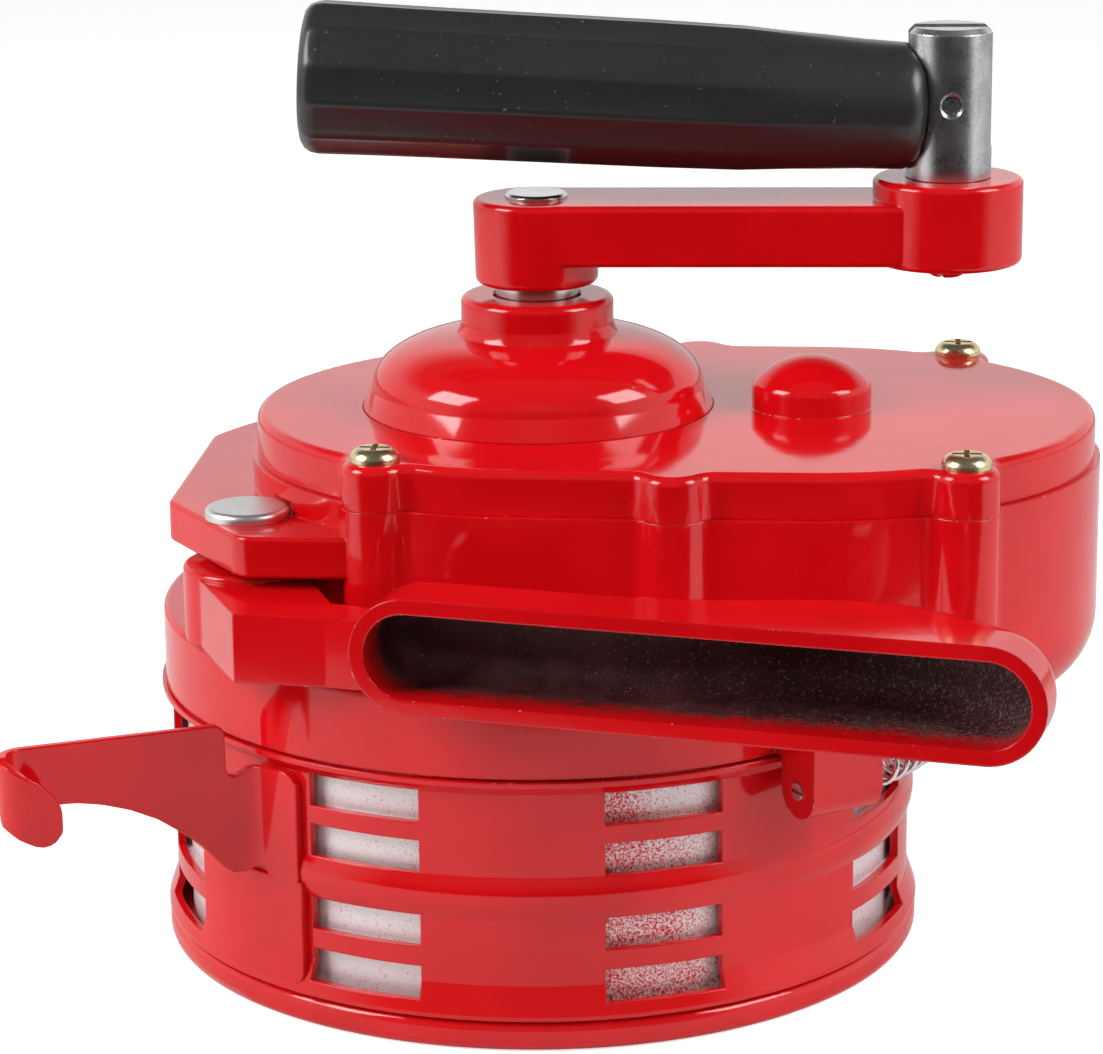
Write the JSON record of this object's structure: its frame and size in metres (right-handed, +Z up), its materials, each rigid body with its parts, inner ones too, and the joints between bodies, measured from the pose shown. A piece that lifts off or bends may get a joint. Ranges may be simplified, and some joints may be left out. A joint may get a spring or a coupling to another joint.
{
  "type": "hand crank siren",
  "caption": "Hand cranked siren with a vaned rotor in a ported drum, geared crank with folding grip, shutter lever and swing-out carrying handle.",
  "frame": {"origin": "on the drum axis at the level of the base", "axes": "+Z up the crank axis, +X from the crank axis to the countershaft, finger lever at -X -Y"},
  "size_m": [0.2012, 0.1884, 0.1867],
  "materials": {
    "red_enamel": "glossy red enamel on cast aluminium",
    "red_sheet": "glossy red enamel on sheet steel",
    "raw_aluminium": "machined, bright",
    "rivet_aluminium": "satin",
    "zinc_steel": "bright zinc plate",
    "yellow_zinc": "yellow zinc plate",
    "shaft_steel": "ground steel",
    "gear_steel": "oiled, hobbed steel",
    "spring_steel": "bright spring wire",
    "bronze": "sintered, oiled",
    "black_grip": "satin-gloss black moulding"
  },
  "bodies": {
    "root": {"base_plate": "red_enamel", "drum_screws": "zinc_steel", "stator": "raw_aluminium", "return_spring": "spring_steel", "spring_anchor_screw": "zinc_steel", "main_housing": "red_enamel", "gear_case_cover": "red_enamel", "cover_screws": "yellow_zinc", "dowel_pins": "shaft_steel", "crank_bearings": "shaft_steel", "bearing_spacer": "shaft_steel", "rotor_bearings": "shaft_steel", "countershaft_bushes": "bronze", "handle_rivet": "rivet_aluminium"},
    "shutter": {"shutter_band": "red_sheet", "trigger_lever": "red_sheet", "spring_bracket": "red_sheet"},
    "carry_handle": {"carry_handle": "red_enamel"},
    "crank": {"crank_shaft": "shaft_steel", "crank_gear": "gear_steel", "crank_retaining_ring": "spring_steel", "crank_arm": "red_enamel"},
    "countershaft": {"countershaft": "shaft_steel", "counter_gear": "gear_steel", "counter_pinion": "gear_steel"},
    "rotor": {"rotor_shaft": "shaft_steel", "rotor_pinion": "gear_steel", "rotor": "raw_aluminium", "rotor_nut": "zinc_steel"},
    "post": {"grip_post": "zinc_steel", "post_screw": "red_enamel", "fold_pin": "zinc_steel"},
    "grip_link": {"grip_tongue": "zinc_steel"},
    "grip": {"grip": "black_grip"}
  },
  "joints": [
    {"name": "crank_spin", "type": "hinge", "parent": "root", "child": "crank", "pos_m": [0, 0, 0], "axis": [0, 0, 1], "continuous": true},
    {"name": "countershaft_spin", "type": "hinge", "parent": "root", "child": "countershaft", "pos_m": [0.054, 0, 0], "axis": [0, 0, 1], "continuous": true},
    {"name": "rotor_spin", "type": "hinge", "parent": "root", "child": "rotor", "pos_m": [0, 0, 0], "axis": [0, 0, 1], "continuous": true},
    {"name": "post_swivel", "type": "hinge", "parent": "crank", "child": "post", "pos_m": [0.08003, 0.00321, 0.16], "axis": [0, 0, 1], "continuous": true},
    {"name": "grip_fold", "type": "hinge", "parent": "post", "child": "grip_link", "pos_m": [0.08003, 0.00321, 0.1668], "axis": [-0.0401, 0.9992, 0], "range_deg": [0, 87]},
    {"name": "grip_slide", "type": "slide", "parent": "grip_link", "child": "grip", "axis": [-0.9978, -0.0401, 0.0523], "range_m": [0, 0.0206]},
    {"name": "handle_swing", "type": "hinge", "parent": "root", "child": "carry_handle", "pos_m": [-0.0528, -0.0364, 0.076], "axis": [0, 0, 1], "range_deg": [-141, 4]},
    {"name": "shutter_turn", "type": "hinge", "parent": "root", "child": "shutter", "pos_m": [0, 0, 0.03], "axis": [0, 0, 1], "range_deg": [0, 20], "stiffness_Nm_per_rad": 2, "springref_deg": -14.32, "deforming": ["return_spring"]}
  ],
  "couplings": [
    {"joint": "countershaft_spin", "follows": "crank_spin", "ratio": -5},
    {"joint": "rotor_spin", "follows": "crank_spin", "ratio": 25},
    {"joint": "grip_slide", "follows": "grip_fold", "m_per_rad": 0.01346}
  ]
}
